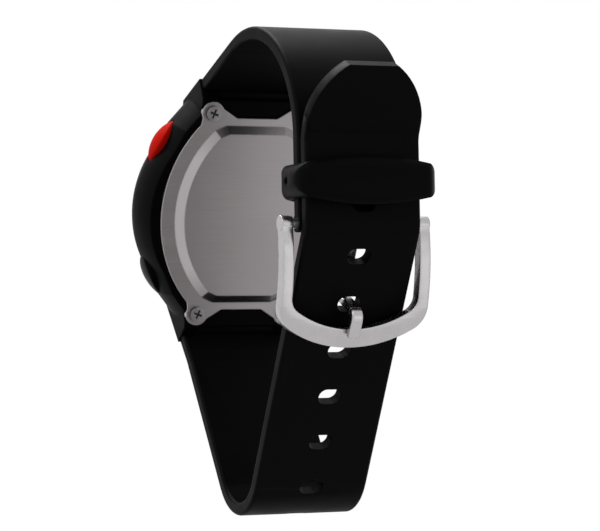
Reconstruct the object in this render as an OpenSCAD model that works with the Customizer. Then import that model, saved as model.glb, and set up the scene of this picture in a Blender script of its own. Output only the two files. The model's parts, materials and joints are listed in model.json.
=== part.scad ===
// Digital chronograph wristwatch on a buckled resin strap.
// Units are millimetres. +Z points to 12 o'clock, the dial faces -Y and +X is 3 o'clock.
// The origin is the centre of the flat back face, so the strap loop lies on the +Y side.

/* [Case] */
// Widest radius of the round case
case_r = 16.8; // [15:0.1:20]
// Radius of the side of the case from its widest line to the front
bulge_r = 6; // [5:0.1:8]
// Radius of the side of the case from its widest line to the back
rear_bulge_r = 12; // [8:0.5:16]
// Wall from the hollow that holds the module out to the widest line
case_wall = 4.2; // [4:0.1:5.6]
// Overall thickness, from the back face to the front of the bezel
case_depth = 10.9; // [10.4:0.1:13]
// Angle of the straight flanks that carry the pushers
flank_angle = 27; // [24:0.5:34]
// Angle of the tapers from the flanks to the lugs
taper_angle = 40; // [36:0.5:46]
// Width across the lugs, over the width of the strap
lug_extra = 0.4; // [0:0.1:1]
// How far each lug bar lies outside the round case, towards 12 or 6 o'clock
lug_reach = 1.1; // [0.6:0.1:2]
// Depth of the lug bars in front of the back face
lug_bar_d = 3.6; // [3.2:0.1:4.4]
// Angle at which the straps leave the case
lug_angle = 36; // [25:0.5:45]

/* [Case back] */
// Rim of the case outside the flange of the case back, up to the widest line
flange_inset = 2.5; // [1.9:0.1:3]
// Height of the raised centre above the flange
back_raise = 0.8; // [0.4:0.05:1.2]
// Thickness of the steel sheet
sheet_t = 0.65; // [0.4:0.05:0.8]
// Flange left at each side of the raised centre
raise_side_gap = 2.2; // [1.8:0.1:4]
// Flange left at the flat ends of the raised centre
raise_end_gap = 1.1; // [0.9:0.1:3]
// Radius of each screw tab
tab_r = 1.8; // [1.6:0.05:2]
// Angle of the screws to each side of the 12 to 6 o'clock line
screw_angle = 25; // [24:0.5:26]
// Diameter of the screw heads
screw_head = 2.3; // [2:0.1:2.8]
// Diameter of the screw shanks
screw_d = 1.35; // [1:0.05:1.5]

/* [Pushers] */
// Distance of each pusher along its flank from the middle of the round side
pusher_shift = 3; // [1.5:0.1:3.2]
// Depth of the pusher axes in front of the back face
pusher_d = 5.6; // [5.4:0.05:5.9]
// Length of a pusher along the side of the case
pusher_l = 7.2; // [6:0.1:8]
// Width of a pusher across the side of the case
pusher_w = 3.6; // [3:0.1:4.4]
// How far a pusher stands out of the case
pusher_proud = 0.65; // [0.3:0.05:1]
// How far a pusher goes in
pusher_travel = 0.7; // [0.4:0.1:0.8]
// Diameter of the pusher stems
stem_d = 1.4; // [1.2:0.05:1.6]

/* [Strap] */
// Width of the strap
strap_w = 17.6; // [16:0.1:19]
// Thickness of the strap
strap_t = 2; // [1.8:0.1:2.4]
// Rounding of the strap's long edges
strap_edge = 0.5; // [0.3:0.05:0.9]
// Straight length of the upper strap from its lug bar to the bend at the top
upper_run = 14.4; // [12:0.1:18]
// Radius of the bend at the top, at mid thickness
top_bend_r = 16.4; // [13:0.05:20]
// Angle of the bend at the top
top_turn = 111; // [105:0.5:115]
// Length from the top bend down to the buckle bar
buckle_run = 12; // [10:0.1:14]
// Gap between the two straps where they lie over each other
lap_gap = 0.6; // [0.4:0.05:1]
// Straight length of the lower strap from its lug bar
lower_run = 5.2; // [4:0.1:9]
// Angle of the slight bend in the lower strap
ease_turn = 5.5; // [4:0.5:12]
// Radius of that slight bend
ease_r = 20; // [12:1:30]
// Radius of the bend at the bottom, at mid thickness
bottom_r = 6.9; // [5:0.05:9]
// Slope of the back stretch of the lower strap
back_slope = 76.5; // [70:0.5:82]
// Length of the free tip past the keeper
tip_run = 9.6; // [6:0.1:12]
// Distance between strap holes
hole_pitch = 7.4; // [6.5:0.1:8]
// Number of strap holes
hole_count = 9; // [7:1:9]
// Width of each hole, across the strap
hole_w = 3.6; // [2.8:0.1:4]
// Length of each hole, along the strap
hole_l = 2.4; // [2:0.1:2.8]

/* [Buckle and keeper] */
// Room between the strap and each arm of the frame
arm_gap = 0.95; // [0.5:0.05:1.2]
// Width of each arm of the frame
arm_w = 1.6; // [1.5:0.05:2.2]
// Width of the bottom bar of the frame
band_w = 2.7; // [2:0.1:3.2]
// Thickness of the frame
buckle_t = 1.8; // [1.4:0.1:2.2]
// Distance from the buckle bar to the hole that the prong is in
prong_reach = 10.8; // [10.5:0.1:12]
// Width of the prong
prong_w = 1.75; // [1.4:0.05:2]
// Thickness of the prong
prong_t = 1.1; // [0.9:0.05:1.2]
// Height of the keeper along the strap, at its middle
keeper_h = 6.8; // [6:0.1:8.4]
// Height of the keeper at its ends
keeper_end_h = 4; // [3.6:0.1:6]
// Wall of the keeper on its outer side
keeper_front = 2.3; // [1.6:0.1:2.8]
// Wall of the keeper on its wrist side
keeper_rear = 1.2; // [1:0.1:2]
// Wall of the keeper at each end
keeper_side = 1.8; // [1.6:0.1:3]
// Diameter of the tube of the three spring bars
bar_d = 1.5; // [1.3:0.05:1.6]
// Diameter of the bar tips
bar_tip_d = 0.8; // [0.7:0.05:0.9]

/* [Show] */
// Node to draw

/* [Hidden] */
$fn = 48;

// Clearances
fit = 0.05;             // close fit between pieces that don't move
run_fit = 0.03;         // radial clearance of a stem or tip in its bore
side_fit = 0.2;         // each side of a strap tongue, a prong or a keeper
pusher_fit = 0.12;      // round a pusher head in its recess
splice = 0.03;          // how far a straight stretch of a band runs into a bent one
splice_step = 0.01;     // how much slimmer a bent stretch is on each side

// The round case and what is placed from it
cavity_r = case_r - case_wall;
flange_r = case_r - flange_inset;
lug_bar_z = case_r + lug_reach;
raise_half_w = flange_r - raise_side_gap;
flange_end = flange_r + 0.5;
raise_half_h = flange_end - raise_end_gap;
screw_ring = case_r + 0.25;
screw_x = screw_ring * sin(screw_angle);
screw_z = screw_ring * cos(screw_angle);

// Depths in front of the back face
flange_front = back_raise + sheet_t;
case_rear = back_raise + 0.2;
dial_ledge = case_depth - 2.5;
crystal_seat = case_depth - 2;
shoulder = case_depth - 1.9;
collar_top = case_depth - 0.8;
lip_under = case_depth - 0.48;
collar_r = cavity_r + 1.3;
seat_r = cavity_r + 0.5;
window_r = cavity_r - 0.8;

// Module stack, all from the circuit board forwards or backwards
board_t = 0.66;
board_rear = 4;
board_front = board_rear + board_t;
plate_t = 0.1;
frame_rear = board_front + plate_t + 0.02;
frame_front = dial_ledge - 0.5;
glass_t = 0.5;
lcd_front = frame_front + 0.02;
lcd_mid = lcd_front - glass_t;
lcd_rear = lcd_mid - glass_t - 0.02;
light_t = 0.25;
light_rear = lcd_rear - light_t - 0.03;
tray_t = 0.3;
tray_rear = light_rear - fit - tray_t;
mask_rear = lcd_front + 0.1;
lcd_w = 1.35 * cavity_r;
lcd_h = 0.765 * lcd_w;
lcd_step = 1.5;
lcd_rear_h = lcd_h - 2 * lcd_step;
lcd_border = 0.7;
light_border = 0.4;
zebra_w = lcd_w - 2 * lcd_border;
zebra_t = lcd_step - 0.5;
zebra_z = (lcd_rear_h + lcd_h) / 4;
module_r = cavity_r - 0.4;
board_r = cavity_r - 1.6;
cell_r = cavity_r - 4.6;
cell_t = 2;
cell_z = cell_r + 1.9 - module_r;
cell_rear = board_rear - 0.25 - cell_t;
clip_t = 0.18;
clip_rear = cell_rear - clip_t - 0.07;
clip_w = 4;
clip_half_w = cell_r + 1.4;
holder_rear = flange_front + 0.1;
buzzer_r = cavity_r - 3.6;
buzzer_t = 0.2;
ceramic_r = buzzer_r - 2.8;
ceramic_t = 0.17;
buzzer_rear = sheet_t + 0.03;
buzzer_spring_z = buzzer_r - 1.5;
buzzer_spring_hole = 1;
quartz_r = 0.95;
quartz_l = 5.6;
quartz_z = module_r - 2.6;
// Small board parts beside the cell: [angle from 12 o'clock, distance from the centre]
SMALL = [[67, 9.7 / 12.2], [83, 9.3 / 12.2], [45, 9.75 / 12.2]];

// Case back
gasket_r = cavity_r + 0.9;
gasket_section = 0.34;
groove_half_w = 0.42;
groove_depth = 0.7;
screw_l = 4.4;
screw_head_t = 0.45;
raise_side_r = 18;
raise_corner_r = flange_r + 0.2;
flange_side_r = raise_side_r + raise_side_gap;
raise_bevel = 1.3;

// Lugs and lug bars
root_r = 1.6;
tongue_w = strap_w - 4.8;
pocket_w = tongue_w + 2 * side_fit;
ear_run = 1.9;
seam = 0.15;
tip_reach = 1.2;
bar_bore = bar_d + 2 * run_fit;
tip_bore = bar_tip_d + 2 * run_fit;
flank_r = case_r - 0.15;
taper_r = case_r + 0.8;
lug_w = strap_w + lug_extra;
lug_step = 0.15;

// Pushers, square to the flanks of the case and measured outwards from its axis
cap_in = flank_r - 0.85;
recess_floor = cap_in - pusher_travel - fit;
spring_seat = recess_floor - 1.2;
spring_bore_d = 3;
spring_d = 2.5;
spring_wire = 0.22;
stem_clip_t = 0.25;
stem_clip_d = 2.6;
clip_out = sqrt(pow(cavity_r, 2) - pow(pusher_shift + stem_clip_d / 2, 2)) - fit;
stem_in = clip_out - stem_clip_t - 0.4;
stem_neck_d = 1;
seal_at = spring_seat - 0.35;
seal_w = 0.4;
seal_neck_d = stem_d - 0.7;
lens_r = (pow(pusher_l / 2, 2) + pow(pusher_w / 2, 2)) / pusher_w;
dome_rise = pusher_proud + 0.25;
dome_r = (pow(pusher_l / 2, 2) + pow(dome_rise, 2)) / (2 * dome_rise);
contact_out = stem_in - pusher_travel - 0.1;
contact_t = 0.15;

// Path helpers: a pose on a strap is [y, z, heading], with heading 0 along +Y
function ahead(p, run) = [p[0] + run * cos(p[2]), p[1] + run * sin(p[2]), p[2]];
function left_of(p, gap) = [p[0] - gap * sin(p[2]), p[1] + gap * cos(p[2]), p[2]];
function turned(p, r, turn) =
    let (c = left_of(p, sign(turn) * r), a = p[2] + turn)
    [c[0] + sign(turn) * r * sin(a), c[1] - sign(turn) * r * cos(a), a];
function reversed(p) = [p[0], p[1], p[2] + 180];

// Upper strap, from its lug bar to the buckle bar
upper_bar = [-lug_bar_d, lug_bar_z, lug_angle];
upper_start = left_of(upper_bar, root_r - strap_t / 2);
top_start = ahead(upper_start, upper_run);
top_end = turned(top_start, top_bend_r, -top_turn);
buckle_bar = ahead(top_end, buckle_run);
lap = strap_t + lap_gap;
knuckle_r = strap_t / 2 + 0.25;

// Lower strap, from its lug bar round to the buckle and on to its tip
lower_bar = [-lug_bar_d, -lug_bar_z, -lug_angle];
lower_start = left_of(lower_bar, strap_t / 2 - root_r);
ease_start = ahead(lower_start, lower_run);
ease_end = turned(ease_start, ease_r, -ease_turn);
bottom_turn = back_slope - ease_end[2];
lap_turn = 180 + top_end[2] - back_slope;
wrap_start = left_of([buckle_bar[0], buckle_bar[1], back_slope], -lap);
// The two straight lengths that close the loop, from where the bottom bend would end
bend_shift = turned([0, 0, ease_end[2]], bottom_r, bottom_turn);
gap_y = wrap_start[0] - ease_end[0] - bend_shift[0];
gap_z = wrap_start[1] - ease_end[1] - bend_shift[1];
cross = sin(bottom_turn);
under_run = (gap_y * sin(back_slope) - gap_z * cos(back_slope)) / cross;
back_run = (gap_z * cos(ease_end[2]) - gap_y * sin(ease_end[2])) / cross;
bottom_start = ahead(ease_end, under_run);
bottom_end = turned(bottom_start, bottom_r, bottom_turn);
wrap_end = turned(wrap_start, lap, lap_turn);
tip_ease_r = 5;
tip_ease_turn = 24;
tip_early = 1;
tip_start = ahead(wrap_end, buckle_run - tip_early);
free_start = turned(tip_start, tip_ease_r, -tip_ease_turn);
tip_side_r = 11.5;
tip_side_run = tip_run - 0.1;

// Buckle, on the line of the lower strap's back stretch seen from the bar downwards
down = reversed(wrap_start);
bar_gap = 0.6;
bar_off = strap_t / 2 + bar_gap + buckle_t / 2;
bar_at = prong_reach + 4.5;
chord = norm([bar_at, bar_off + lap]);
chord_angle = atan2(bar_off + lap, bar_at);
frame_r = chord / (2 * sin(chord_angle));
frame_pose = [buckle_bar[0], buckle_bar[1], down[2] + chord_angle];
buckle_corner_r = 4;
buckle_sweep_r = 18.3;
inner_corner_r = 2.4;
inner_sweep_r = 15.9;
eye_r = 1.1;
frame_inner_w = strap_w + 2 * arm_gap;
buckle_w = frame_inner_w + 2 * arm_w;
prong_gap = 0.5;
prong_under = strap_t / 2 + prong_gap + prong_t / 2;
prong_over = bar_off + buckle_t / 2 + 0.08 + prong_t / 2;
prong_bend = 0.9;
prong_eye_r = knuckle_r;
notch_w = prong_w + 2 * side_fit;
lug_tube_l = pocket_w - 0.2;
buckle_tube_l = frame_inner_w - 0.2;

// Keeper, measured up from the buckle bar
keeper_low = 2.4;
keeper_in_w = strap_w + 2 * (side_fit + fit);
keeper_in_t = lap + strap_t + 2 * side_fit;
keeper_w = keeper_in_w + 2 * keeper_side;
keeper_t = keeper_in_t + keeper_front + keeper_rear;
keeper_drop = (keeper_h - keeper_end_h) / 2;
keeper_lens_r = (pow(keeper_w / 2, 2) + pow(keeper_drop, 2)) / (2 * keeper_drop);
keeper_round_r = (keeper_h * (keeper_lens_r - keeper_h / 4) - pow(keeper_w / 2, 2))
    / (2 * keeper_lens_r - keeper_w) + 0.08;
keeper_round_at = keeper_w / 2 - keeper_round_r;
keeper_dome_r = 9;
keeper_corner = 2.8;
keeper_up = [buckle_bar[0], buckle_bar[1], top_end[2]];

// Helpers

// Draws with local +Z running from the back face to the dial and local +Y to 12 o'clock
module lay(depth = 0) {
    translate([0, -depth, 0])
        rotate([90, 0, 0])
            children();
}

// Local +Y follows the heading of a pose and local +Z is on its left
module on(p) {
    translate([0, p[0], p[1]])
        rotate([p[2], 0, 0])
            children();
}

// A pin or tube along X, centred on x
module across(r, len, x = 0) {
    translate([x - len / 2, 0, 0])
        rotate([0, 90, 0])
            cylinder(h = len, r = r);
}

module ring(r_out, r_in, h) {
    difference() {
        cylinder(h = h, r = r_out);
        translate([0, 0, -1])
            cylinder(h = h + 2, r = r_in);
    }
}

// A rectangle with four round corners, centred
module rounded(w, h, r) {
    square([w - 2 * r, h], center = true);
    square([w, h - 2 * r], center = true);
    for (x = [-1, 1], y = [-1, 1])
        translate([x * (w / 2 - r), y * (h / 2 - r)])
            circle(r);
}

// A straight stretch of a band from a pose onwards, let into its neighbours by the splice
module band_run(p, run, w, t, r) {
    on(ahead(p, -splice))
        rotate([-90, 0, 0])
            linear_extrude(run + 2 * splice)
                rounded(w, t, r);
}

// A bent stretch of a band, to the left for a positive turn, a hair slimmer than a straight one
module band_bend(p, bend, turn, w, t, r) {
    on(p)
        mirror([0, 0, turn < 0 ? 1 : 0])
            translate([0, 0, bend])
                rotate([0, 90, 0])
                    rotate_extrude(angle = abs(turn))
                        translate([bend, 0])
                            rounded(t - 2 * splice_step, w - 2 * splice_step, r);
}

// An oval hole through a strap, long across its width
module strap_hole(p) {
    on(p)
        for (x = [-1, 1])
            translate([x * (hole_w - hole_l) / 2, 0, -strap_t])
                cylinder(h = 2 * strap_t, d = hole_l);
    on(p)
        translate([-(hole_w - hole_l) / 2, -hole_l / 2, -strap_t])
            cube([hole_w - hole_l, hole_l, 2 * strap_t]);
}

// A coil of wire along +Z, as one tube
module coil(r, wire, len, turns) {
    rings = 14;
    sides = 6;
    last = rings * turns;
    rise = (len - wire) / last;
    points = [
        for (i = [0:last], j = [0:sides - 1])
            let (a = 360 * i / rings, b = 360 * j / sides, q = r + wire / 2 * cos(b))
            [q * cos(a), q * sin(a), wire / 2 + i * rise + wire / 2 * sin(b)]
    ];
    walls = [
        for (i = [0:last - 1], j = [0:sides - 1], k = [0:1])
            let (
                a = i * sides + j,
                b = i * sides + (j + 1) % sides
            )
            k == 0 ? [a, a + sides, b] : [b, a + sides, b + sides]
    ];
    cap_a = [for (j = [1:sides - 2]) [0, j, j + 1]];
    cap_b = [for (j = [1:sides - 2]) [last * sides, last * sides + j + 1, last * sides + j]];
    polyhedron(points = points, faces = concat(walls, cap_a, cap_b), convexity = 10);
}

// Case

// Half section of the case side: distance outwards and depth, from x_in to the bulge
module side_section(x_in, x_out) {
    core = x_out - bulge_r + 1;
    intersection() {
        translate([x_out - bulge_r, pusher_d])
            circle(bulge_r, $fn = 96);
        translate([x_out - bulge_r, pusher_d])
            square([bulge_r + 1, shoulder - pusher_d]);
    }
    intersection() {
        translate([x_out - rear_bulge_r, pusher_d])
            circle(rear_bulge_r, $fn = 96);
        translate([x_out - bulge_r, case_rear])
            square([bulge_r + 1, pusher_d - case_rear]);
    }
    translate([x_in, case_rear])
        square([core - x_in, shoulder - case_rear]);
}

module case_side() {
    rotate_extrude($fn = 96)
        side_section(0, case_r);
}

// A straight flank that carries the bulge from the round case to the end of a lug
module flank() {
    reach = 2 * case_r;
    rotate(flank_angle)
        translate([0, reach, 0])
            rotate([90, 0, 0])
                linear_extrude(reach)
                    side_section(-reach, flank_r);
}

// The steeper side that cuts a flank down towards the width of the strap
module taper() {
    reach = 2 * case_r;
    rotate(taper_angle)
        translate([0, reach, 0])
            rotate([90, 0, 0])
                linear_extrude(2 * reach)
                    side_section(-reach, taper_r);
}

// The side outline of a lug down to a depth, seen along X with 12 o'clock up
module lug_side(front) {
    outer_end = left_of(ahead(upper_bar, ear_run), root_r);
    inner_end = left_of(ahead(upper_bar, ear_run), -root_r);
    front_end = ahead(outer_end, -(outer_end[0] + front) / cos(lug_angle));
    rear_end = ahead(inner_end, -(inner_end[0] + case_rear) / cos(lug_angle));
    polygon([
        [outer_end[0], outer_end[1]],
        [front_end[0], front_end[1]],
        [-front, 0],
        [-case_rear, 0],
        [rear_end[0], rear_end[1]],
        [inner_end[0], inner_end[1]]
    ]);
}

// Both ears of one end, before the strap pocket is cut
module lug_block() {
    intersection() {
        translate([-case_r, 0, 0])
            rotate([90, 0, 90])
                linear_extrude(2 * case_r)
                    lug_side(shoulder + 2);
        lay()
            flank();
        lay()
            taper();
        mirror([1, 0, 0])
            lay()
                flank();
        mirror([1, 0, 0])
            lay()
                taper();
    }
    translate([-lug_w / 2, 0, 0])
        rotate([90, 0, 90])
            linear_extrude(lug_w)
                lug_side(shoulder - lug_step);
}

module lug_pocket() {
    pocket_r = root_r + side_fit;
    on(upper_bar) {
        across(pocket_r, pocket_w);
        translate([-pocket_w / 2, 0, -pocket_r])
            cube([pocket_w, ear_run + 2, 2 * pocket_r]);
        translate([-pocket_w / 2, -0.5, 0])
            cube([pocket_w, ear_run + 2.5, pocket_r + 1]);
        across(tip_bore / 2, pocket_w + 2 * (tip_reach + 0.1));
    }
}

// Outline of the flange with its four screw tabs
module flange_outline(grow = 0) {
    intersection() {
        translate([flange_r - flange_side_r, 0])
            circle(flange_side_r + grow, $fn = 96);
        translate([flange_side_r - flange_r, 0])
            circle(flange_side_r + grow, $fn = 96);
        translate([-case_r, -flange_end - grow])
            square([2 * case_r, 2 * (flange_end + grow)]);
    }
    for (x = [-1, 1], z = [-1, 1])
        rotate(z * atan2(screw_z, x * screw_x) - 90) {
            reach = norm([screw_x, screw_z]);
            translate([0, reach])
                circle(tab_r + grow);
            polygon([
                [-tab_r - grow, reach],
                [-tab_r - 2.6 - grow, flange_r - 1.2],
                [tab_r + 2.6 + grow, flange_r - 1.2],
                [tab_r + grow, reach]
            ]);
        }
}

module at_screws() {
    for (x = [-1, 1], z = [-1, 1])
        translate([x * screw_x, z * screw_z, 0])
            children();
}

// The four pushers, as mirrored across [3 to 9 o'clock, 12 to 6 o'clock]
START = [0, 0];
LAP = [0, 1];
MODE = [1, 1];
LIGHT = [1, 0];
PUSHERS = [START, LAP, MODE, LIGHT];

// The place of a pusher: local +X runs outwards along its stem
module at_pusher(which) {
    mirror([which[0], 0, 0])
        mirror([0, 0, which[1]])
            translate([0, -pusher_d, 0])
                rotate([0, -flank_angle, 0])
                    translate([0, 0, pusher_shift])
                        children();
}

// A bar along local +X from one radius to another
module outwards(r, x_in, x_out) {
    translate([x_in, 0, 0])
        rotate([0, 90, 0])
            cylinder(h = x_out - x_in, r = r);
}

module lens_prism(grow, x_in, x_out) {
    translate([x_in, 0, 0])
        rotate([90, 0, 90])
            linear_extrude(x_out - x_in)
                intersection_for (s = [-1, 1])
                    translate([s * (lens_r - pusher_w / 2), 0])
                        circle(lens_r + grow, $fn = 96);
}

module pusher_opening(which) {
    at_pusher(which) {
        lens_prism(pusher_fit, recess_floor, case_r + 3);
        outwards(stem_d / 2 + run_fit, cavity_r - 2, case_r);
        outwards(spring_bore_d / 2, spring_seat, case_r);
    }
}

module case_middle() {
    color([0.09, 0.09, 0.1])
    difference() {
        union() {
            lay()
                case_side();
            for (s = [0, 1])
                mirror([0, 0, s])
                    lug_block();
            lay(shoulder - 1)
                cylinder(h = collar_top - shoulder + 1, r = collar_r, $fn = 96);
        }
        for (s = [0, 1])
            mirror([0, 0, s])
                lug_pocket();
        lay(-1)
            cylinder(h = dial_ledge + 1, r = cavity_r, $fn = 96);
        lay(0)
            cylinder(h = case_depth, r = window_r, $fn = 96);
        lay(crystal_seat)
            cylinder(h = case_depth, r = seat_r, $fn = 96);
        lay(-1)
            linear_extrude(flange_front + 1)
                flange_outline(0.1);
        lay(flange_front - 1)
            ring(gasket_r + groove_half_w, gasket_r - groove_half_w, groove_depth + 1);
        lay(flange_front - 1)
            at_screws()
                cylinder(h = screw_l + 1.2, d = screw_d + 2 * fit);
        for (p = PUSHERS)
            pusher_opening(p);
    }
}

module bezel() {
    inner = collar_r + fit;
    foot = collar_r + 1.6;
    color([0.06, 0.06, 0.07])
    lay()
    difference() {
        rotate_extrude($fn = 96)
            polygon([
                [inner, shoulder + fit],
                [foot, shoulder + fit],
                [foot, case_depth - 1],
                [foot - 1.1, case_depth],
                [seat_r, case_depth],
                [cavity_r - 0.1, case_depth - 0.35],
                [cavity_r - 0.1, lip_under],
                [inner, lip_under]
            ]);
        for (i = [0:11])
            rotate(30 * i)
                translate([-0.25, foot - 2, case_depth - 0.14])
                    cube([0.5, 1.2, 1]);
    }
}

module crystal() {
    color([0.75, 0.85, 0.9, 0.4])
    lay()
        rotate_extrude($fn = 96)
            polygon([
                [0, crystal_seat + fit],
                [seat_r - 0.35, crystal_seat + fit],
                [seat_r - 0.35, lip_under - 0.25],
                [seat_r - 0.53, lip_under - 0.07],
                [0, lip_under - 0.07]
            ]);
}

module crystal_gasket() {
    color([0.9, 0.9, 0.88])
    lay(crystal_seat + 0.02)
        ring(seat_r - 0.03, seat_r - 0.32, collar_top - crystal_seat + 0.1, $fn = 96);
}

module index_ring() {
    color([0.62, 0.63, 0.65])
    lay()
        rotate_extrude($fn = 96)
            polygon([
                [window_r - 1.2, dial_ledge - 0.02],
                [window_r - 0.1, dial_ledge - 0.02],
                [window_r - 0.1, crystal_seat],
                [window_r - 0.5, crystal_seat]
            ]);
}

module dial_mask() {
    tick_r = window_r - 1.7;
    color([0.1, 0.1, 0.12])
    lay(mask_rear)
    difference() {
        cylinder(h = dial_ledge - mask_rear - 0.04, r = module_r + 0.2, $fn = 96);
        translate([0, 0, -1])
            linear_extrude(3)
                rounded(lcd_w - 1.8, lcd_h - 3.6, 0.8);
        for (i = [0:59])
            rotate(6 * i)
                translate([-0.06, tick_r - (i % 5 == 0 ? 0.9 : 0.4), 0.2])
                    cube([0.12, i % 5 == 0 ? 0.9 : 0.4, 1]);
    }
}

// Module

module lcd_panel() {
    color([0.62, 0.66, 0.6])
    lay() {
        translate([-lcd_w / 2, -lcd_h / 2, lcd_mid])
            cube([lcd_w, lcd_h, glass_t]);
        translate([-lcd_w / 2, -lcd_rear_h / 2, lcd_rear])
            cube([lcd_w, lcd_rear_h, lcd_mid - lcd_rear]);
    }
}

// Segments lit for each digit, in the order top, upper right, lower right,
// bottom, lower left, upper left, middle
LIT = [
    [1, 1, 1, 1, 1, 1, 0],
    [0, 1, 1, 0, 0, 0, 0],
    [1, 1, 0, 1, 1, 0, 1],
    [1, 1, 1, 1, 0, 0, 1],
    [0, 1, 1, 0, 0, 1, 1],
    [1, 0, 1, 1, 0, 1, 1],
    [1, 0, 1, 1, 1, 1, 1],
    [1, 1, 1, 0, 0, 0, 0],
    [1, 1, 1, 1, 1, 1, 1],
    [1, 1, 1, 1, 0, 1, 1]
];

module segment(len, w) {
    polygon([
        [-len / 2, 0],
        [-len / 2 + w / 2, w / 2],
        [len / 2 - w / 2, w / 2],
        [len / 2, 0],
        [len / 2 - w / 2, -w / 2],
        [-len / 2 + w / 2, -w / 2]
    ]);
}

module digit(n, w, h) {
    bar = h / 8;
    gap = 0.06;
    half = h / 2 - bar / 2;
    side = w / 2 - bar / 2;
    places = [
        [0, half, 0],
        [side, half / 2, 90],
        [side, -half / 2, 90],
        [0, -half, 0],
        [-side, -half / 2, 90],
        [-side, half / 2, 90],
        [0, 0, 0]
    ];
    for (i = [0:6])
        if (LIT[n][i] == 1)
            translate([places[i][0], places[i][1]])
                rotate(places[i][2])
                    segment((places[i][2] == 0 ? 2 * side : half) - gap, bar);
}

module lcd_segments() {
    color([0.08, 0.09, 0.08])
    lay(lcd_front + 0.01)
    linear_extrude(0.06)
    scale(lcd_w / 17) {
        row = [[1, -5.6], [0, -3.1], [5, 0.6], [8, 3.1]];
        for (d = row)
            translate([d[1] - 0.4, -1])
                digit(d[0], 2, 4.2);
        for (d = [[3, 5], [6, 6.3]])
            translate([d[1], -1.9])
                digit(d[0], 1.05, 2.3);
        for (y = [-1.9, -0.1])
            translate([-1.65, y])
                square(0.45, center = true);
        for (d = [[1, -3.2], [2, -1.9], [0, 0], [4, 1.3]])
            translate([d[1], 2.9])
                digit(d[0], 0.95, 2);
        for (x = [-6.6, 3, 4.4, 5.8])
            translate([x, 2.9])
                square([0.8, 0.3], center = true);
    }
}

module backlight_panel() {
    color([0.75, 0.9, 0.85])
    lay(light_rear)
        translate([-zebra_w / 2, light_border - lcd_rear_h / 2, 0])
            cube([zebra_w, lcd_rear_h - 2 * light_border, light_t]);
}

module zebra_strips() {
    color([0.25, 0.25, 0.27])
    lay(board_front + 0.01)
        for (s = [-1, 1])
            translate([-zebra_w / 2, s * zebra_z - zebra_t / 2, 0])
                cube([zebra_w, zebra_t, lcd_mid - board_front - 0.03]);
}

module module_frame() {
    notch = stem_clip_d + 0.6;
    color([0.86, 0.86, 0.83])
    difference() {
        lay()
        difference() {
            translate([0, 0, frame_rear])
                cylinder(h = frame_front - frame_rear, r = module_r, $fn = 96);
            translate([-lcd_w / 2 - fit, -lcd_h / 2 - fit, tray_rear + tray_t])
                cube([lcd_w + 2 * fit, lcd_h + 2 * fit, 5]);
            translate([0, 0, frame_rear - 1])
                cylinder(h = tray_rear - frame_rear + 1, r = module_r - 2.4, $fn = 96);
            for (s = [-1, 1])
                translate([-zebra_w / 2 - fit, s * zebra_z - zebra_t / 2 - fit, frame_rear - 1])
                    cube([zebra_w + 2 * fit, zebra_t + 2 * fit, 6]);
        }
        for (p = PUSHERS)
            at_pusher(p)
                translate([contact_out - contact_t - 0.3, -notch / 2, -notch / 2])
                    cube([4, notch + 2, notch]);
    }
}

module circuit_board() {
    color([0.1, 0.32, 0.18])
    lay(board_rear)
    difference() {
        cylinder(h = board_t, r = board_r, $fn = 96);
        for (a = [90, 210, 330])
            rotate(a)
                translate([board_r, 0, -1])
                    cylinder(h = 3, r = 0.7);
        translate([0, buzzer_spring_z, -1])
            cylinder(h = 1.1, r = buzzer_spring_hole);
    }
}

module main_chip() {
    cap_r = 4.6;
    color([0.05, 0.05, 0.06])
    lay(board_front + 0.01)
    intersection() {
        cylinder(h = 1, r = 3);
        translate([0, 0, 0.95 - cap_r])
            sphere(r = cap_r);
    }
}

module quartz_can() {
    color([0.75, 0.76, 0.78])
    translate([0, -(board_rear - quartz_r - 0.02), quartz_z]) {
        across(quartz_r, quartz_l);
        across(quartz_r * 0.8, 0.5, -quartz_l / 2 - 0.25);
    }
}

module small_parts() {
    color([0.55, 0.42, 0.3])
    lay(board_rear - 0.51)
        for (s = [-1, 1], p = SMALL)
            rotate(s * p[0])
                translate([-0.5, p[1] * module_r - 0.3, 0])
                    cube([1, 0.6, 0.5]);
}

module contact_plate() {
    rear = board_front + 0.01;
    finger_w = 2.2;
    color([0.83, 0.68, 0.35]) {
        lay(rear)
            ring(board_r - 0.05, contact_out - contact_t - 0.15, plate_t, $fn = 96);
        for (p = PUSHERS)
            at_pusher(p)
                translate([contact_out - contact_t, -0.6, -finger_w / 2])
                    cube([contact_t, pusher_d + 0.6 - rear, finger_w]);
    }
}

module coin_cell() {
    color([0.78, 0.79, 0.8])
    lay(cell_rear)
        translate([0, cell_z, 0]) {
            cylinder(h = cell_t - 0.35, r = cell_r, $fn = 96);
            cylinder(h = cell_t, r = cell_r - 1.4, $fn = 96);
        }
}

module cell_contact() {
    color([0.83, 0.68, 0.35])
    lay(board_rear - 0.17)
        translate([-cell_r / 2, cell_z - cell_r / 5, 0])
            cube([cell_r, cell_r / 2.5, 0.15]);
}

module battery_clip() {
    leg = board_rear - clip_rear - 0.02;
    color([0.8, 0.8, 0.82])
    lay(clip_rear) {
        translate([-clip_half_w, cell_z - clip_w / 2, 0])
            cube([2 * clip_half_w, clip_w, clip_t]);
        for (s = [-1, 1])
            translate([s * (clip_half_w - clip_t / 2) - clip_t / 2, cell_z - clip_w / 2, 0])
                cube([clip_t, clip_w, leg]);
    }
}

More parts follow.
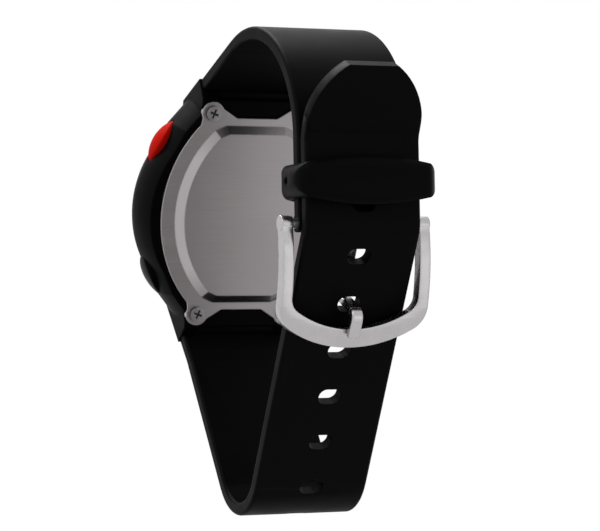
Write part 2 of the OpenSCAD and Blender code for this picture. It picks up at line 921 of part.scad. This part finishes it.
module rear_holder() {
    color([0.86, 0.86, 0.83])
    lay()
    difference() {
        translate([0, 0, holder_rear])
            cylinder(h = board_rear - 0.02 - holder_rear, r = module_r, $fn = 96);
        translate([0, cell_z, -1])
            cylinder(h = 8, r = cell_r + 0.15, $fn = 96);
        translate([-clip_half_w - 0.1, cell_z - clip_w / 2 - 0.1, -1])
            cube([2 * clip_half_w + 0.2, clip_w + 0.2, 8]);
        translate([-quartz_l / 2 - 0.7, quartz_z - quartz_r - 0.1, -1])
            cube([quartz_l + 0.9, 2 * quartz_r + 0.2, 8]);
        translate([0, buzzer_spring_z, -1])
            cylinder(h = 8, r = buzzer_spring_hole);
        for (s = [-1, 1], p = SMALL)
            rotate(s * p[0])
                translate([-0.7, p[1] * module_r - 0.5, -1])
                    cube([1.4, 1, 8]);
    }
}

module buzzer_disc() {
    color([0.83, 0.68, 0.35])
    lay(buzzer_rear)
        cylinder(h = buzzer_t, r = buzzer_r, $fn = 96);
}

module buzzer_ceramic() {
    color([0.92, 0.92, 0.9])
    lay(buzzer_rear + buzzer_t + 0.01)
        cylinder(h = ceramic_t, r = ceramic_r, $fn = 96);
}

module buzzer_spring() {
    start = buzzer_rear + buzzer_t + 0.02;
    color([0.85, 0.72, 0.4])
    lay(start)
        translate([0, buzzer_spring_z, 0])
            coil(0.62, 0.2, board_rear - start - 0.02, 6);
}

// Case back

// The raised centre between two depths, drawn in by its bevel at the outer face
module raised(inset, d_out, d_in) {
    side_x = raise_side_r - raise_half_w;
    h = d_in - d_out;
    intersection() {
        intersection_for (t = [-1, 1])
            translate([t * side_x, 0, d_out])
                cylinder(
                    h = h,
                    r1 = raise_side_r - inset - raise_bevel,
                    r2 = raise_side_r - inset,
                    $fn = 96
                );
        translate([0, 0, d_out])
            cylinder(
                h = h,
                r1 = raise_corner_r - inset - raise_bevel,
                r2 = raise_corner_r - inset,
                $fn = 96
            );
        translate([-case_r, 0, 0])
            rotate([90, 0, 90])
                linear_extrude(2 * case_r)
                    polygon([
                        [-raise_half_h + inset + raise_bevel, d_out],
                        [raise_half_h - inset - raise_bevel, d_out],
                        [raise_half_h - inset, d_in],
                        [-raise_half_h + inset, d_in]
                    ]);
    }
}

module case_back() {
    color([0.72, 0.7, 0.7])
    lay()
    difference() {
        union() {
            raised(0, 0, back_raise + 0.01);
            translate([0, 0, back_raise])
                linear_extrude(sheet_t)
                    flange_outline();
        }
        intersection() {
            raised(sheet_t, sheet_t, flange_front + 0.2);
            cylinder(h = 3, r = gasket_r - groove_half_w - 0.1, $fn = 96);
        }
        at_screws()
            translate([0, 0, -1])
                cylinder(h = 5, d = screw_d + 4 * fit);
    }
}

module back_gasket() {
    color([0.15, 0.15, 0.16])
    lay(flange_front + groove_depth / 2)
        rotate_extrude($fn = 96)
            translate([gasket_r, 0])
                circle(gasket_section);
}

module back_screws() {
    color([0.8, 0.8, 0.8])
    lay(back_raise - 0.01)
        at_screws()
            difference() {
                union() {
                    cylinder(h = screw_l, d = screw_d);
                    translate([0, 0, -screw_head_t])
                        cylinder(h = screw_head_t, d = screw_head);
                }
                for (a = [20, 110])
                    rotate(a)
                        translate([-0.7, -0.16, -screw_head_t - 1])
                            cube([1.4, 0.32, 1.28]);
            }
}

// Pushers

module pusher_at(which) {
    at_pusher(which)
    difference() {
        union() {
            intersection() {
                lens_prism(0, cap_in, case_r + 3);
                translate([case_r + pusher_proud - dome_r, 0, 0])
                    rotate([0, 0, 180])
                        sphere(r = dome_r, $fn = 96);
            }
            outwards(stem_d / 2, stem_in, cap_in + 0.5);
        }
        translate([clip_out - stem_clip_t - 0.02, 0, 0])
            rotate([0, 90, 0])
                ring(stem_d, stem_neck_d / 2, stem_clip_t + 0.04);
        translate([seal_at - seal_w / 2, 0, 0])
            rotate([0, 90, 0])
                ring(stem_d, seal_neck_d / 2, seal_w);
    }
}

module stem_clip_at(which) {
    color([0.7, 0.7, 0.72])
    at_pusher(which)
    translate([clip_out - stem_clip_t, 0, 0])
    rotate([0, 90, 0])
    difference() {
        ring(stem_clip_d / 2, stem_neck_d / 2 + 0.01, stem_clip_t);
        translate([0, -0.42, -1])
            cube([3, 0.84, 3]);
    }
}

module stem_seal_at(which) {
    seal_r = stem_d / 2 + run_fit - 0.01;
    section = (seal_r - seal_neck_d / 2 - 0.01) / 2;
    color([0.2, 0.2, 0.22])
    at_pusher(which)
    translate([seal_at, 0, 0])
    rotate([0, 90, 0])
    rotate_extrude()
        translate([seal_r - section, 0])
            circle(section);
}

module stem_spring_at(which) {
    color([0.8, 0.8, 0.82])
    at_pusher(which)
    translate([spring_seat + 0.02, 0, 0])
    rotate([0, 90, 0])
        coil((spring_d - spring_wire) / 2, spring_wire, cap_in - spring_seat - 0.04, 4);
}

module start_pusher() {
    color([0.85, 0.16, 0.05])
        pusher_at(START);
}

module lap_pusher() {
    color([0.05, 0.05, 0.06])
        pusher_at(LAP);
}

module mode_pusher() {
    color([0.05, 0.05, 0.06])
        pusher_at(MODE);
}

module light_pusher() {
    color([0.05, 0.05, 0.06])
        pusher_at(LIGHT);
}

module start_clip() stem_clip_at(START);
module lap_clip() stem_clip_at(LAP);
module mode_clip() stem_clip_at(MODE);
module light_clip() stem_clip_at(LIGHT);
module start_seal() stem_seal_at(START);
module lap_seal() stem_seal_at(LAP);
module mode_seal() stem_seal_at(MODE);
module light_seal() stem_seal_at(LIGHT);
module start_spring() stem_spring_at(START);
module lap_spring() stem_spring_at(LAP);
module mode_spring() stem_spring_at(MODE);
module light_spring() stem_spring_at(LIGHT);

// Straps

// The round tongue of a strap between the ears of the case
module tongue(bar, offset) {
    on(bar)
        across(root_r, tongue_w);
    on(left_of(bar, offset))
        translate([-tongue_w / 2, 0, -strap_t / 2 + splice_step])
            cube([tongue_w, ear_run + seam + 1, strap_t - 2 * splice_step]);
}

module strap_run(p, run) {
    band_run(p, run, strap_w, strap_t, strap_edge);
}

module strap_bend(p, bend, turn) {
    band_bend(p, bend, turn, strap_w, strap_t, strap_edge);
}

module upper_strap() {
    first = ear_run + seam;
    color([0.08, 0.08, 0.09])
    difference() {
        union() {
            tongue(upper_bar, root_r - strap_t / 2);
            strap_run(ahead(upper_start, first), upper_run - first);
            strap_bend(top_start, top_bend_r, -top_turn);
            strap_run(top_end, buckle_run);
            on(buckle_bar)
                across(knuckle_r, strap_w - 2 * splice_step);
        }
        on(upper_bar)
            across(bar_bore / 2, strap_w + 2);
        on(buckle_bar) {
            across(bar_bore / 2, strap_w + 2);
            across(prong_eye_r + side_fit, notch_w);
        }
    }
}

// Where a hole lies, counted along the strap from the one that the prong is in
function hole_pose(k) =
    let (
        s = prong_reach + k * hole_pitch,
        wrap_len = lap * lap_turn * PI / 180,
        bend_len = bottom_r * bottom_turn * PI / 180
    )
    s < -wrap_len ? ahead(wrap_end, -s - wrap_len)
    : s < back_run ? ahead(wrap_start, -s)
    : s < back_run + bend_len
        ? turned(bottom_start, bottom_r, bottom_turn - (s - back_run) / bend_len * bottom_turn)
    : ahead(bottom_start, back_run + bend_len - s);

// Outline of the free end over the last run of the strap, drawn in to a narrow flat end
module tip_outline(run) {
    intersection() {
        translate([0, run / 2])
            square([strap_w + 2, run], center = true);
        intersection_for (s = [-1, 1])
            translate([s * (tip_side_r - strap_w / 2), run - tip_side_run])
                union() {
                    circle(tip_side_r, $fn = 96);
                    translate([-tip_side_r, -run])
                        square([2 * tip_side_r, run]);
                }
    }
}

module lower_strap() {
    first = ear_run + seam;
    color([0.08, 0.08, 0.09])
    difference() {
        union() {
            tongue(lower_bar, strap_t / 2 - root_r);
            strap_run(ahead(lower_start, first), lower_run - first);
            strap_bend(ease_start, ease_r, -ease_turn);
            strap_run(ease_end, under_run);
            strap_bend(bottom_start, bottom_r, bottom_turn);
            strap_run(bottom_end, back_run);
            strap_bend(wrap_start, lap, lap_turn);
            strap_run(wrap_end, buckle_run - tip_early);
            strap_bend(tip_start, tip_ease_r, -tip_ease_turn);
            intersection() {
                strap_run(free_start, tip_run);
                on(ahead(free_start, -1))
                    translate([0, 0, -strap_t])
                        linear_extrude(2 * strap_t)
                            tip_outline(tip_run + 1);
            }
        }
        on(lower_bar)
            across(bar_bore / 2, strap_w + 2);
        for (k = [-2:hole_count - 3])
            strap_hole(hole_pose(k));
    }
}

// Spring bars

module bar_tube(len) {
    difference() {
        across(bar_d / 2, len);
        across(bar_d / 2 - 0.25, len + 1);
    }
}

// Two tips that stand out of a tube by reach on each side
module bar_tips(len, reach) {
    for (s = [-1, 1]) {
        across(bar_tip_d / 2, 1.6 + reach, s * (len / 2 - 1.6 + (1.6 + reach) / 2));
        across(bar_d / 2 - 0.28, 0.5, s * (len / 2 - 1.85));
    }
}

module bar_coil(len) {
    difference() {
        across(bar_d / 2 - 0.3, len - 4.3);
        across(bar_d / 2 - 0.42, len);
    }
}

module lug_bar_tubes() {
    color([0.75, 0.75, 0.77])
    for (p = [upper_bar, lower_bar])
        on(p)
            bar_tube(lug_tube_l);
}

module lug_bar_tips() {
    color([0.8, 0.8, 0.82])
    for (p = [upper_bar, lower_bar])
        on(p)
            bar_tips(lug_tube_l, tip_reach);
}

module lug_bar_coils() {
    color([0.6, 0.6, 0.62])
    for (p = [upper_bar, lower_bar])
        on(p)
            bar_coil(lug_tube_l);
}

module buckle_bar_tube() {
    color([0.75, 0.75, 0.77])
    on(buckle_bar)
        bar_tube(buckle_tube_l);
}

module buckle_bar_tips() {
    color([0.8, 0.8, 0.82])
    on(buckle_bar)
        bar_tips(buckle_tube_l, tip_reach);
}

module buckle_bar_coil() {
    color([0.6, 0.6, 0.62])
    on(buckle_bar)
        bar_coil(buckle_tube_l);
}

// Buckle and keeper

// A round-bottomed frame outline: width, depth of its lowest point, corner and sweep radii
module buckle_outline(w, bottom, corner, sweep) {
    side = w / 2 - corner;
    centre = bottom - sweep;
    level = centre + sqrt(pow(sweep - corner, 2) - pow(side, 2));
    reach = 2 * sweep;
    lean = asin(side / (sweep - corner));
    translate([-w / 2, 0])
        square([w, level]);
    for (s = [-1, 1])
        translate([s * side, level])
            circle(corner + splice_step);
    intersection() {
        translate([0, centre])
            circle(sweep, $fn = 96);
        polygon([
            [0, centre],
            [reach * sin(lean), centre + reach * cos(lean)],
            [-reach * sin(lean), centre + reach * cos(lean)]
        ]);
    }
}

module buckle_frame() {
    low = chord + band_w / 2;
    color([0.82, 0.82, 0.83])
    on(frame_pose)
    difference() {
        union() {
            difference() {
                intersection() {
                    translate([0, 0, -6])
                        linear_extrude(14)
                            buckle_outline(buckle_w, low, buckle_corner_r, buckle_sweep_r);
                    translate([0, chord / 2, -frame_r * cos(chord_angle)])
                        difference() {
                            across(frame_r + buckle_t / 2, buckle_w + 2, $fn = 128);
                            across(frame_r - buckle_t / 2, buckle_w + 4, $fn = 128);
                        }
                }
                translate([0, -0.01, -7])
                    linear_extrude(16)
                        buckle_outline(
                            frame_inner_w, low - band_w, inner_corner_r, inner_sweep_r
                        );
            }
            for (s = [-1, 1])
                across(eye_r, arm_w + 2 * fit, s * (buckle_w - arm_w) / 2);
        }
        across(tip_bore / 2, frame_inner_w + 2 * (tip_reach + 0.1) - 0.2);
    }
}

module prong() {
    a = [0, -prong_under, 0];
    b = ahead(a, prong_reach - prong_bend);
    c = turned(b, prong_bend, 90);
    d = ahead(c, prong_over + prong_under - 2 * prong_bend);
    e = turned(d, prong_bend, -90);
    over = bar_at - 1 - prong_reach - prong_bend;
    soft = 0.3;
    color([0.8, 0.8, 0.82])
    on(down)
    difference() {
        union() {
            on([0, -lap, 0])
                across(prong_eye_r, prong_w);
            band_run(a, prong_reach - prong_bend, prong_w, prong_t, soft);
            band_bend(b, prong_bend, 90, prong_w, prong_t, soft);
            band_run(c, prong_over + prong_under - 2 * prong_bend, prong_w, prong_t, soft);
            band_bend(d, prong_bend, -90, prong_w, prong_t, soft);
            band_run(e, over, prong_w, prong_t, soft);
        }
        on([0, -lap, 0])
            across(bar_bore / 2, prong_w + 2);
    }
}

// A loop round both straps, with a tall middle, lower ends and a domed outer side
module keeper() {
    outer_at = keeper_in_t / 2 + keeper_front;
    color([0.06, 0.06, 0.07])
    on(keeper_up)
    translate([0, -keeper_low - keeper_h / 2, lap / 2])
    difference() {
        intersection() {
            translate([0, keeper_h, 0])
                rotate([90, 0, 0])
                    linear_extrude(2 * keeper_h)
                        translate([0, (keeper_front - keeper_rear) / 2])
                            rounded(keeper_w, keeper_t, keeper_corner);
            intersection_for (s = [-1, 1])
                translate([0, s * (keeper_lens_r - keeper_h / 2), -keeper_t])
                    cylinder(h = 2 * keeper_t, r = keeper_lens_r, $fn = 96);
            union() {
                cube([2 * keeper_round_at + 1.4, keeper_h + 1, 2 * keeper_t], center = true);
                for (s = [-1, 1])
                    translate([s * keeper_round_at, 0, -keeper_t])
                        cylinder(h = 2 * keeper_t, r = keeper_round_r, $fn = 96);
            }
            translate([0, 0, outer_at - keeper_dome_r])
                across(keeper_dome_r, keeper_w + 2, $fn = 96);
        }
        translate([0, keeper_h, 0])
            rotate([90, 0, 0])
                linear_extrude(2 * keeper_h)
                    rounded(keeper_in_w, keeper_in_t, 0.7);
        across(0.5, 1, keeper_w / 2 + 0.2);
    }
}

// Nodes

case_middle();
bezel();
crystal();
crystal_gasket();
index_ring();
dial_mask();
lcd_panel();
lcd_segments();
backlight_panel();
zebra_strips();
module_frame();
circuit_board();
main_chip();
quartz_can();
small_parts();
contact_plate();
coin_cell();
cell_contact();
battery_clip();
rear_holder();
buzzer_disc();
buzzer_ceramic();
buzzer_spring();
case_back();
back_gasket();
back_screws();
start_pusher();
start_clip();
start_seal();
start_spring();
lap_pusher();
lap_clip();
lap_seal();
lap_spring();
mode_pusher();
mode_clip();
mode_seal();
mode_spring();
light_pusher();
light_clip();
light_seal();
light_spring();
upper_strap();
lower_strap();
lug_bar_tubes();
lug_bar_tips();
lug_bar_coils();
buckle_bar_tube();
buckle_bar_tips();
buckle_bar_coil();
buckle_frame();
prong();
keeper();
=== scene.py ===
"""A digital chronograph wristwatch on a buckled resin strap, seen from behind.

The CAD nodes are the shapes. This script gives them their finishes, softens their
edges with modifiers, and sets the camera, the lamps and the white surroundings.
"""

import json
import math

import bpy
from mathutils import Matrix, Vector

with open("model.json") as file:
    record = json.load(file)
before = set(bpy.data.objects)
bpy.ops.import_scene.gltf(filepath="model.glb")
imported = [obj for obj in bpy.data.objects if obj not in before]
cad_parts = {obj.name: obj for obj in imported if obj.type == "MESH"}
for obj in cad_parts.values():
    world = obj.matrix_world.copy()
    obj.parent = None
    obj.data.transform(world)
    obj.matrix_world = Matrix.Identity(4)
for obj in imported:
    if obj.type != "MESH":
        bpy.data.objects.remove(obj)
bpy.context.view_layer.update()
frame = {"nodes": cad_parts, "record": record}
nodes = frame["nodes"]
scene = bpy.context.scene

MM = 0.001

# Camera, worked out from the photograph: distance and aim in millimetres
AIM = Vector((0, 19.44, -3.37))
CAMERA_DISTANCE = 420
CAMERA_RIGHT = Vector((-0.9135, 0.3973, 0.0872))
CAMERA_UP = Vector((0, -0.2144, 0.9767))
PIXELS_PER_MM = 6.85  # at the camera's aim
IMAGE_WIDTH = 600
IMAGE_HEIGHT = 531
AIM_ROW = 265  # the row of the image on which the aim lies
SENSOR = 36

# Lamps: place from the aim as (right, up, back), width and height, all in metres; watts
LAMPS = {
    "key": ((-0.35, 0.45, 0.5), (0.3, 0.3), 1),
    "top": ((-0.15, 0.55, -0.25), (0.45, 0.45), 7),
    "side": ((-0.6, 0.05, 0.1), (0.2, 0.5), 0.3),
    "fill": ((0.5, -0.1, 0.4), (0.4, 0.4), 0.2),
}
WORLD_LEVEL = 0.55


def add_camera():
    data = bpy.data.cameras.new("camera")
    data.sensor_width = SENSOR
    data.lens = SENSOR * PIXELS_PER_MM * CAMERA_DISTANCE / IMAGE_WIDTH
    data.shift_y = (AIM_ROW - IMAGE_HEIGHT / 2) / IMAGE_WIDTH
    data.clip_start = 0.01
    right = CAMERA_RIGHT.normalized()
    up = (CAMERA_UP - right * CAMERA_UP.dot(right)).normalized()
    back = right.cross(up)
    camera = bpy.data.objects.new("camera", data)
    turn = Matrix((right, up, back)).transposed().to_4x4()
    camera.matrix_world = Matrix.Translation((AIM + back * CAMERA_DISTANCE) * MM) @ turn
    scene.collection.objects.link(camera)
    scene.camera = camera
    return right, up, back


def add_lamp(name, offset, size, watts):
    """A rectangular soft box at an offset from the aim, in metres, turned towards it."""
    data = bpy.data.lights.new(name, "AREA")
    data.shape = "RECTANGLE"
    data.size, data.size_y = size
    data.energy = watts
    lamp = bpy.data.objects.new(name, data)
    lamp.location = AIM * MM + offset
    lamp.rotation_euler = offset.to_track_quat("Z", "Y").to_euler()
    scene.collection.objects.link(lamp)


def add_world(level):
    """White where the camera, metal or glass looks; a plain level for the rest."""
    world = bpy.data.worlds.new("surroundings")
    scene.world = world
    world.use_nodes = True
    tree = world.node_tree
    tree.nodes.clear()
    path = tree.nodes.new("ShaderNodeLightPath")
    seen = tree.nodes.new("ShaderNodeMath")
    seen.operation = "MAXIMUM"
    either = tree.nodes.new("ShaderNodeMath")
    either.operation = "MAXIMUM"
    tree.links.new(path.outputs["Is Camera Ray"], seen.inputs[0])
    tree.links.new(path.outputs["Is Glossy Ray"], seen.inputs[1])
    tree.links.new(seen.outputs[0], either.inputs[0])
    tree.links.new(path.outputs["Is Transmission Ray"], either.inputs[1])
    strength = tree.nodes.new("ShaderNodeMapRange")
    strength.inputs["To Min"].default_value = level
    strength.inputs["To Max"].default_value = 1
    tree.links.new(either.outputs[0], strength.inputs["Value"])
    light = tree.nodes.new("ShaderNodeBackground")
    light.inputs["Color"].default_value = (1, 1, 1, 1)
    tree.links.new(strength.outputs[0], light.inputs["Strength"])
    out = tree.nodes.new("ShaderNodeOutputWorld")
    tree.links.new(light.outputs[0], out.inputs["Surface"])


class Finish:
    """A node material built up in steps over one Principled shader."""

    def __init__(self, name, **inputs):
        self.material = bpy.data.materials.new(name)
        self.material.use_nodes = True
        self.tree = self.material.node_tree
        self.shader = self.tree.nodes["Principled BSDF"]
        self.place = self.add("ShaderNodeTexCoord").outputs["Object"]
        self.height = None
        self.edge = None
        for key, value in inputs.items():
            self.shader.inputs[key.replace("_", " ")].default_value = value

    def add(self, kind, **settings):
        node = self.tree.nodes.new(kind)
        for key, value in settings.items():
            setattr(node, key, value)
        return node

    def link(self, source, target):
        self.tree.links.new(source, target)

    def noise(self, scale, detail=3, rough=0.5, stretch=(1, 1, 1)):
        """Noise in object space; scale is in waves per metre."""
        mapping = self.add("ShaderNodeMapping")
        mapping.inputs["Scale"].default_value = stretch
        self.link(self.place, mapping.inputs["Vector"])
        node = self.add("ShaderNodeTexNoise")
        node.inputs["Scale"].default_value = scale
        node.inputs["Detail"].default_value = detail
        node.inputs["Roughness"].default_value = rough
        self.link(mapping.outputs[0], node.inputs["Vector"])
        return node.outputs["Fac"]

    def spread(self, value, low, high, from_low=0.3, from_high=0.7):
        node = self.add("ShaderNodeMapRange")
        for key, number in (
            ("From Min", from_low), ("From Max", from_high), ("To Min", low), ("To Max", high)
        ):
            node.inputs[key].default_value = number
        self.link(value, node.inputs["Value"])
        return node.outputs[0]

    def blend(self, value, first, second):
        """A colour between two others; each is a socket or three numbers."""
        node = self.add("ShaderNodeMix", data_type="RGBA")
        self.link(value, node.inputs[0])
        for socket, colour in ((node.inputs[6], first), (node.inputs[7], second)):
            if isinstance(colour, bpy.types.NodeSocket):
                self.link(colour, socket)
            else:
                socket.default_value = (*colour, 1)
        return node.outputs[2]

    def combine(self, operation, first, second):
        node = self.add("ShaderNodeMath", operation=operation)
        for socket, value in zip(node.inputs, (first, second)):
            if isinstance(value, bpy.types.NodeSocket):
                self.link(value, socket)
            else:
                socket.default_value = value
        return node.outputs[0]

    def rounded(self, radius):
        """Shades the edges as if rounded; the radius is in millimetres."""
        self.edge = self.add("ShaderNodeBevel", samples=6)
        self.edge.inputs["Radius"].default_value = radius * MM
        return self.edge.outputs[0]

    def raised(self, value, depth):
        """Adds a height, in millimetres, to the bump."""
        scaled = self.combine("MULTIPLY", value, depth * MM)
        self.height = self.combine("ADD", self.height, scaled) if self.height else scaled

    def done(self, colour=None, rough=None):
        if colour is not None:
            self.link(colour, self.shader.inputs["Base Color"])
        if rough is not None:
            self.link(rough, self.shader.inputs["Roughness"])
        if self.height is not None:
            bump = self.add("ShaderNodeBump")
            bump.inputs["Distance"].default_value = 1
            self.link(self.height, bump.inputs["Height"])
            if self.edge:
                self.link(self.edge.outputs[0], bump.inputs["Normal"])
            self.link(bump.outputs[0], self.shader.inputs["Normal"])
        return self.material


def shade(colour, factor):
    return tuple(min(1, c * factor) for c in colour)


def resin(name, colour, rough=0.42, pebble=0.006, worn=0.12, shine=0.035, edge=0.3):
    """Moulded resin: a fine mould texture, cloudy handling marks and a few dust specks."""
    f = Finish(name, IOR=1.48, Specular_IOR_Level=shine)
    f.rounded(edge)
    cloud = f.noise(160, 4)
    fine = f.noise(5200, 2)
    f.raised(fine, pebble)
    f.raised(f.noise(420, 2), pebble * 3)
    tone = f.blend(f.spread(cloud, 0, 1), shade(colour, 1 - worn), shade(colour, 1 + worn))
    dust = f.spread(f.noise(1900, 1), 0, 0.25, 0.72, 0.78)
    tone = f.blend(dust, tone, shade(colour, 2.6))
    return f.done(tone, f.spread(cloud, rough - 0.05, rough + 0.07))


def metal(name, colour, rough=0.25, stretch=(1, 1, 1), lines=0.004, vary=0.1, edge=0.12):
    """Steel or brass with fine lines along its short stretch and a cloudy sheen."""
    f = Finish(name, Metallic=1)
    f.rounded(edge)
    grain = f.noise(1300, 3, 0.6, stretch)
    cloud = f.noise(220, 3)
    f.raised(grain, lines)
    tone = f.blend(f.spread(grain, 0, 1), shade(colour, 1 - vary), shade(colour, 1 + vary))
    tone = f.blend(f.spread(cloud, 0, 0.5), tone, shade(colour, 0.85))
    mixed = f.combine("ADD", f.spread(grain, -0.05, 0.07), f.spread(cloud, rough, rough + 0.06))
    return f.done(tone, mixed)


def plastic(name, colour, rough=0.35, fleck=0.08, scale=900, **inputs):
    """Smooth moulded or printed plastic with faint mottling."""
    f = Finish(name, **inputs)
    mottle = f.noise(scale, 3)
    f.raised(f.noise(3000, 2), 0.003)
    tone = f.blend(f.spread(mottle, 0, 1), shade(colour, 1 - fleck), shade(colour, 1 + fleck))
    return f.done(tone, f.spread(mottle, rough - 0.04, rough + 0.06))


def case_back_steel():
    """Satin steel brushed across, polished on the bevel and on the edges of the sheet, with
    painted shade on the slopes that face up and down, darkest on those facing down.
    """
    f = Finish("back_steel", Metallic=1)
    lines = f.noise(900, 4, 0.65, (0.12, 1, 6))
    cloud = f.noise(90, 3)
    facing = f.add("ShaderNodeSeparateXYZ")
    f.link(f.rounded(0.3), facing.inputs[0])
    flat = f.spread(facing.outputs["Y"], 0, 1, 0.85, 0.98)
    f.raised(f.combine("MULTIPLY", lines, flat), 0.003)
    satin = f.blend(f.spread(lines, 0, 1), (0.285, 0.264, 0.268), (0.335, 0.311, 0.315))
    satin = f.blend(f.spread(cloud, 0, 0.6), satin, (0.27, 0.25, 0.254))
    # painted shade: slopes facing up or down turn dark, darker still where they face down; only
    # slopes facing sideways keep the bright polished tone
    slope = f.combine("ABSOLUTE", facing.outputs["Z"], 0)
    painted_shade_mask = f.spread(slope, 0, 1, 0.25, 0.6)
    painted_shade_below = f.spread(facing.outputs["Z"], 1, 0, -0.5, -0.1)
    painted_slope_shade = f.blend(painted_shade_below, (0.13, 0.12, 0.122), (0.05, 0.047, 0.048))
    bevel = f.blend(painted_shade_mask, (0.38, 0.355, 0.36), painted_slope_shade)
    tone = f.blend(flat, bevel, satin)
    rough = f.combine("ADD", f.spread(lines, -0.04, 0.04), f.spread(flat, 0.3, 0.45, 0, 1))
    return f.done(tone, rough)


def screw_metal():
    """Polished steel, with painted shade in the cross recess and round the foot of the head."""
    f = Finish("screw_steel", Metallic=1)
    f.rounded(0.06)
    grain = f.noise(1300, 3, 0.6)
    f.raised(grain, 0.001)
    place = f.add("ShaderNodeSeparateXYZ")
    f.link(f.place, place.inputs[0])
    deep, shallow = (SCREW_TOP - depth * MM for depth in RECESS_PAINTED_SHADE)
    face = f.spread(place.outputs["Y"], 0, 1, deep, shallow)
    tone = f.blend(f.spread(grain, 0, 1), (0.31, 0.295, 0.3), (0.36, 0.345, 0.35))
    # painted shade: the screw turns dark below the head's outer face, in the cross recess and
    # round the foot of the head
    tone = f.blend(face, (0.045, 0.042, 0.043), tone)
    return f.done(tone, f.spread(grain, 0.27, 0.35))


def crystal_glass():
    f = Finish("crystal", IOR=1.36, Transmission_Weight=1)
    smear = f.noise(120, 3)
    f.raised(f.noise(2500, 2), 0.0006)
    tone = f.blend(f.spread(smear, 0, 1), (0.93, 0.96, 0.95), (0.97, 0.98, 0.98))
    return f.done(tone, f.spread(smear, 0.01, 0.05))


# The outer face of the screw heads, in metres, and the depths under it, in millimetres, between
# which a screw goes from painted shade to bright
SCREW_TOP = max(v.co.y for v in nodes["back_screws"].data.vertices)
RECESS_PAINTED_SHADE = (0.17, 0.05)

# Base colours used more than once
BLACK = (0.0013, 0.0013, 0.0014)
STEEL = (0.62, 0.615, 0.61)
FINISHES = {
    "case_resin": resin("case_resin", BLACK, shine=0.021, edge=0.45),
    "bezel_resin": resin("bezel_resin", shade(BLACK, 1.2), 0.36, edge=0.4),
    "strap_resin": resin("strap_resin", BLACK, 0.46, 0.008, shine=0.031, edge=0.25),
    "keeper_resin": resin("keeper_resin", BLACK, 0.34, 0.003, shine=0.028, edge=1.2),
    "pusher_red": resin("pusher_red", (0.36, 0.004, 0.001), 0.5, 0.004, 0.06, 0.012, 1.0),
    "pusher_black": resin("pusher_black", BLACK, 0.36, 0.004),
    "gasket_rubber": resin("gasket_rubber", (0.02, 0.02, 0.021), 0.55),
    "zebra": resin("zebra", (0.05, 0.05, 0.055), 0.6),
    "crystal": crystal_glass(),
    "crystal_gasket": plastic("crystal_gasket", (0.7, 0.7, 0.66)),
    "index_grey": plastic("index_grey", (0.35, 0.36, 0.38), 0.3),
    "mask_black": plastic("mask_black", (0.012, 0.012, 0.015), 0.3),
    "lcd_glass": plastic("lcd_glass", (0.36, 0.41, 0.34), 0.14, 0.03, 300),
    "lcd_ink": plastic("lcd_ink", (0.012, 0.016, 0.012), 0.25),
    "backlight": plastic("backlight", (0.55, 0.75, 0.68), 0.5),
    "module_plastic": plastic("module_plastic", (0.68, 0.68, 0.63), 0.45),
    "board_green": plastic("board_green", (0.015, 0.11, 0.04), 0.3, 0.2, 1800),
    "chip_epoxy": plastic("chip_epoxy", (0.012, 0.012, 0.014), 0.2),
    "small_parts": plastic("small_parts", (0.3, 0.19, 0.1), 0.4),
    "buzzer_white": plastic("buzzer_white", (0.74, 0.73, 0.68), 0.4),
    "can_metal": metal("can_metal", STEEL, 0.22),
    "contact_brass": metal("contact_brass", (0.83, 0.6, 0.25), 0.25, (1, 6, 1)),
    "buzzer_brass": metal("buzzer_brass", (0.8, 0.57, 0.24), 0.3, (8, 1, 1)),
    "cell_steel": metal("cell_steel", (0.66, 0.66, 0.67), 0.24, (6, 1, 1)),
    "clip_steel": metal("clip_steel", (0.6, 0.6, 0.61), 0.28, (1, 6, 6)),
    "bar_steel": metal("bar_steel", (0.55, 0.55, 0.56), 0.28, (10, 1, 1)),
    "screw_steel": screw_metal(),
    "buckle_steel": metal("buckle_steel", (0.45, 0.435, 0.44), 0.2, (8, 1, 1), 0.0025, 0.05, 0.25),
    "back_steel": case_back_steel(),
}

# Softened edges, in millimetres
EDGES = {
    "buckle_frame": 0.4, "prong": 0.1, "upper_strap": 0.16, "lower_strap": 0.16,
    "keeper": 0.7, "start_pusher": 0.1, "lap_pusher": 0.1, "mode_pusher": 0.1,
    "light_pusher": 0.1, "crystal": 0.05, "coin_cell": 0.1, "module_frame": 0.05,
    "rear_holder": 0.05, "main_chip": 0.05, "quartz_can": 0.05,
}
EDGE_ANGLE = math.radians(28)  # sharper edges than this are softened
WELD_DISTANCE = 0.002  # mm


def soften(node, width):
    weld = node.modifiers.new("weld", "WELD")
    weld.merge_threshold = WELD_DISTANCE * MM
    bevel = node.modifiers.new("edges", "BEVEL")
    bevel.width = width * MM
    bevel.segments = 3
    bevel.limit_method = "ANGLE"
    bevel.angle_limit = EDGE_ANGLE
    bevel.use_clamp_overlap = True
    bevel.harden_normals = True


def dress_nodes():
    slots = {p["node"]: p["material_slot"] for p in frame["record"]["subparts"]}
    for name, node in nodes.items():
        finish = FINISHES[slots[name]]
        for holder in node.material_slots:
            holder.material = finish
        if not node.material_slots:
            node.data.materials.append(finish)
        if name in EDGES:
            soften(node, EDGES[name])


right, up, back = add_camera()
add_world(WORLD_LEVEL)
for name, ((across, above, behind), size, watts) in LAMPS.items():
    add_lamp(name, right * across + up * above + back * behind, size, watts)
dress_nodes()

scene.view_settings.view_transform = "Standard"
